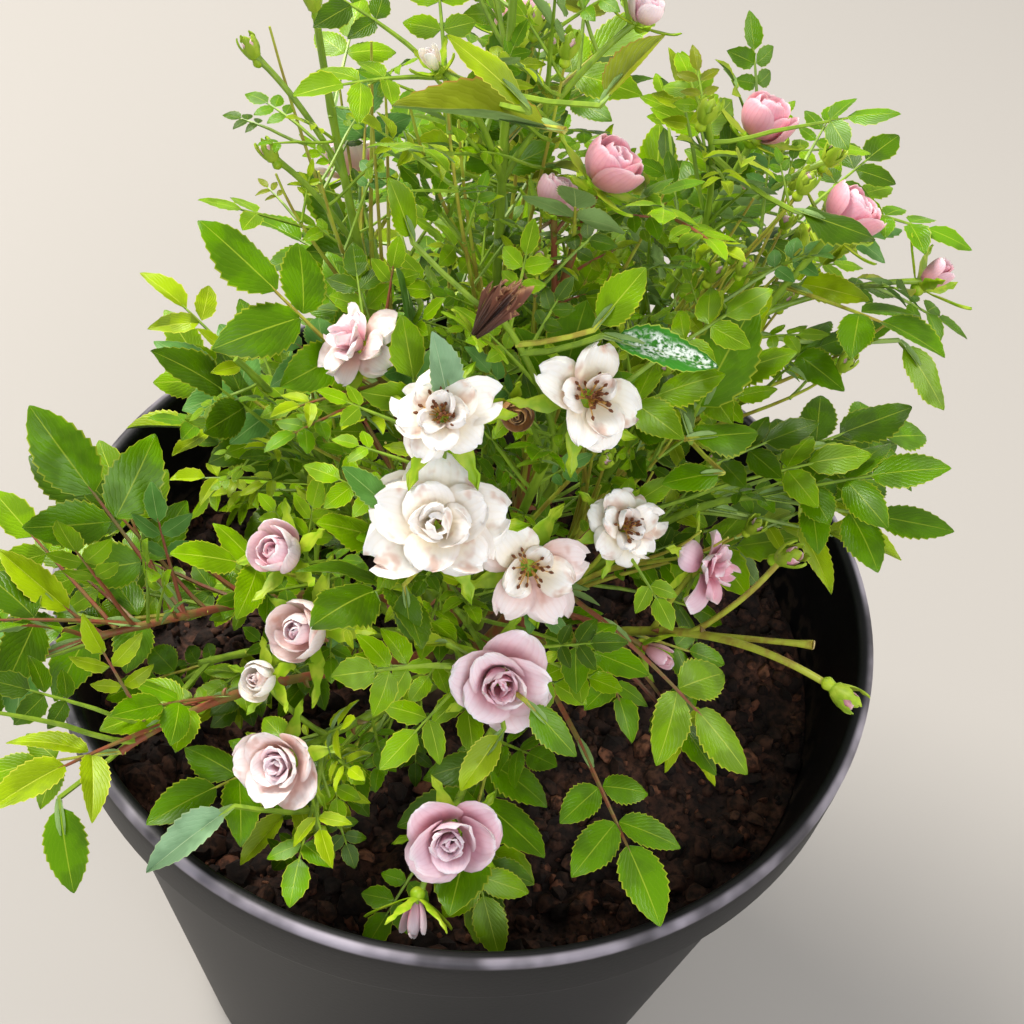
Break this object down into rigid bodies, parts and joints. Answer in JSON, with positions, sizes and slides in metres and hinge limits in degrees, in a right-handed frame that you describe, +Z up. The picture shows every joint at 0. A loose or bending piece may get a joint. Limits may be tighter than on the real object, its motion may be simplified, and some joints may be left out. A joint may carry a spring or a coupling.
{
  "type": "potted miniature rose bush",
  "caption": "Miniature rose bush with cream and pink blossoms, buds and small compound leaves, in a round tapered black plastic pot of soil.",
  "frame": {"origin": "centre of the pot's flat underside", "axes": "+Z up along the pot's axis; -Y is the bush's open front, where the soil shows, and +X is its right from there"},
  "size_m": [0.1711, 0.1757, 0.2566],
  "materials": {
    "pot": "black moulded plastic, satin, with a scuffed grey rim",
    "soil": "dark brown crumbly potting soil",
    "stock": "rough grey-brown bark",
    "cane": "smooth green young bark, red-brown in places",
    "foliage": "satin mid-green leaves, paler below",
    "blossom": "soft cream and pink petals"
  },
  "bodies": {
    "root": {"pot": "pot", "soil": "soil", "stock": "stock", "cane_cream_truss": "cane", "mass_cream_truss": "foliage", "cane_cream_single": "cane", "mass_cream_single": "foliage", "cane_blown_front": "cane", "mass_blown_front": "foliage", "cane_bud_arm": "cane", "mass_bud_arm": "foliage", "cane_low_front": "cane", "mass_low_front": "foliage", "cane_pale_front_left": "cane", "mass_pale_front_left": "foliage", "cane_front_low_leaves": "cane", "mass_front_low_leaves": "foliage", "cane_left_low": "cane", "mass_left_low": "foliage", "cane_left_buds": "cane", "mass_left_buds": "foliage", "cane_left_arch": "cane", "mass_left_arch": "foliage", "cane_left_reach": "cane", "mass_left_reach": "foliage", "cane_left_middle": "cane", "mass_left_middle": "foliage", "cane_left_pink": "cane", "mass_left_pink": "foliage", "cane_back_left_buds": "cane", "mass_back_left_buds": "foliage", "cane_crown_top": "cane", "mass_crown_top": "foliage", "cane_centre_pink": "cane", "mass_centre_pink": "foliage", "cane_back_right_pink": "cane", "mass_back_right_pink": "foliage", "cane_right_pink": "cane", "mass_right_pink": "foliage", "cane_right_reach": "cane", "mass_right_reach": "foliage", "cane_right_middle": "cane", "mass_right_middle": "foliage", "cane_back_tall": "cane", "mass_back_tall": "foliage", "cane_back_left": "cane", "mass_back_left": "foliage", "cane_back_right": "cane", "mass_back_right": "foliage", "cane_left_back": "cane", "mass_left_back": "foliage", "cane_right_low": "cane", "mass_right_low": "foliage", "cane_back_low": "cane", "mass_back_low": "foliage", "cane_back_left_low": "cane", "mass_back_left_low": "foliage", "cane_back_left_arch": "cane", "mass_back_left_arch": "foliage"}
  },
  "joints": []
}
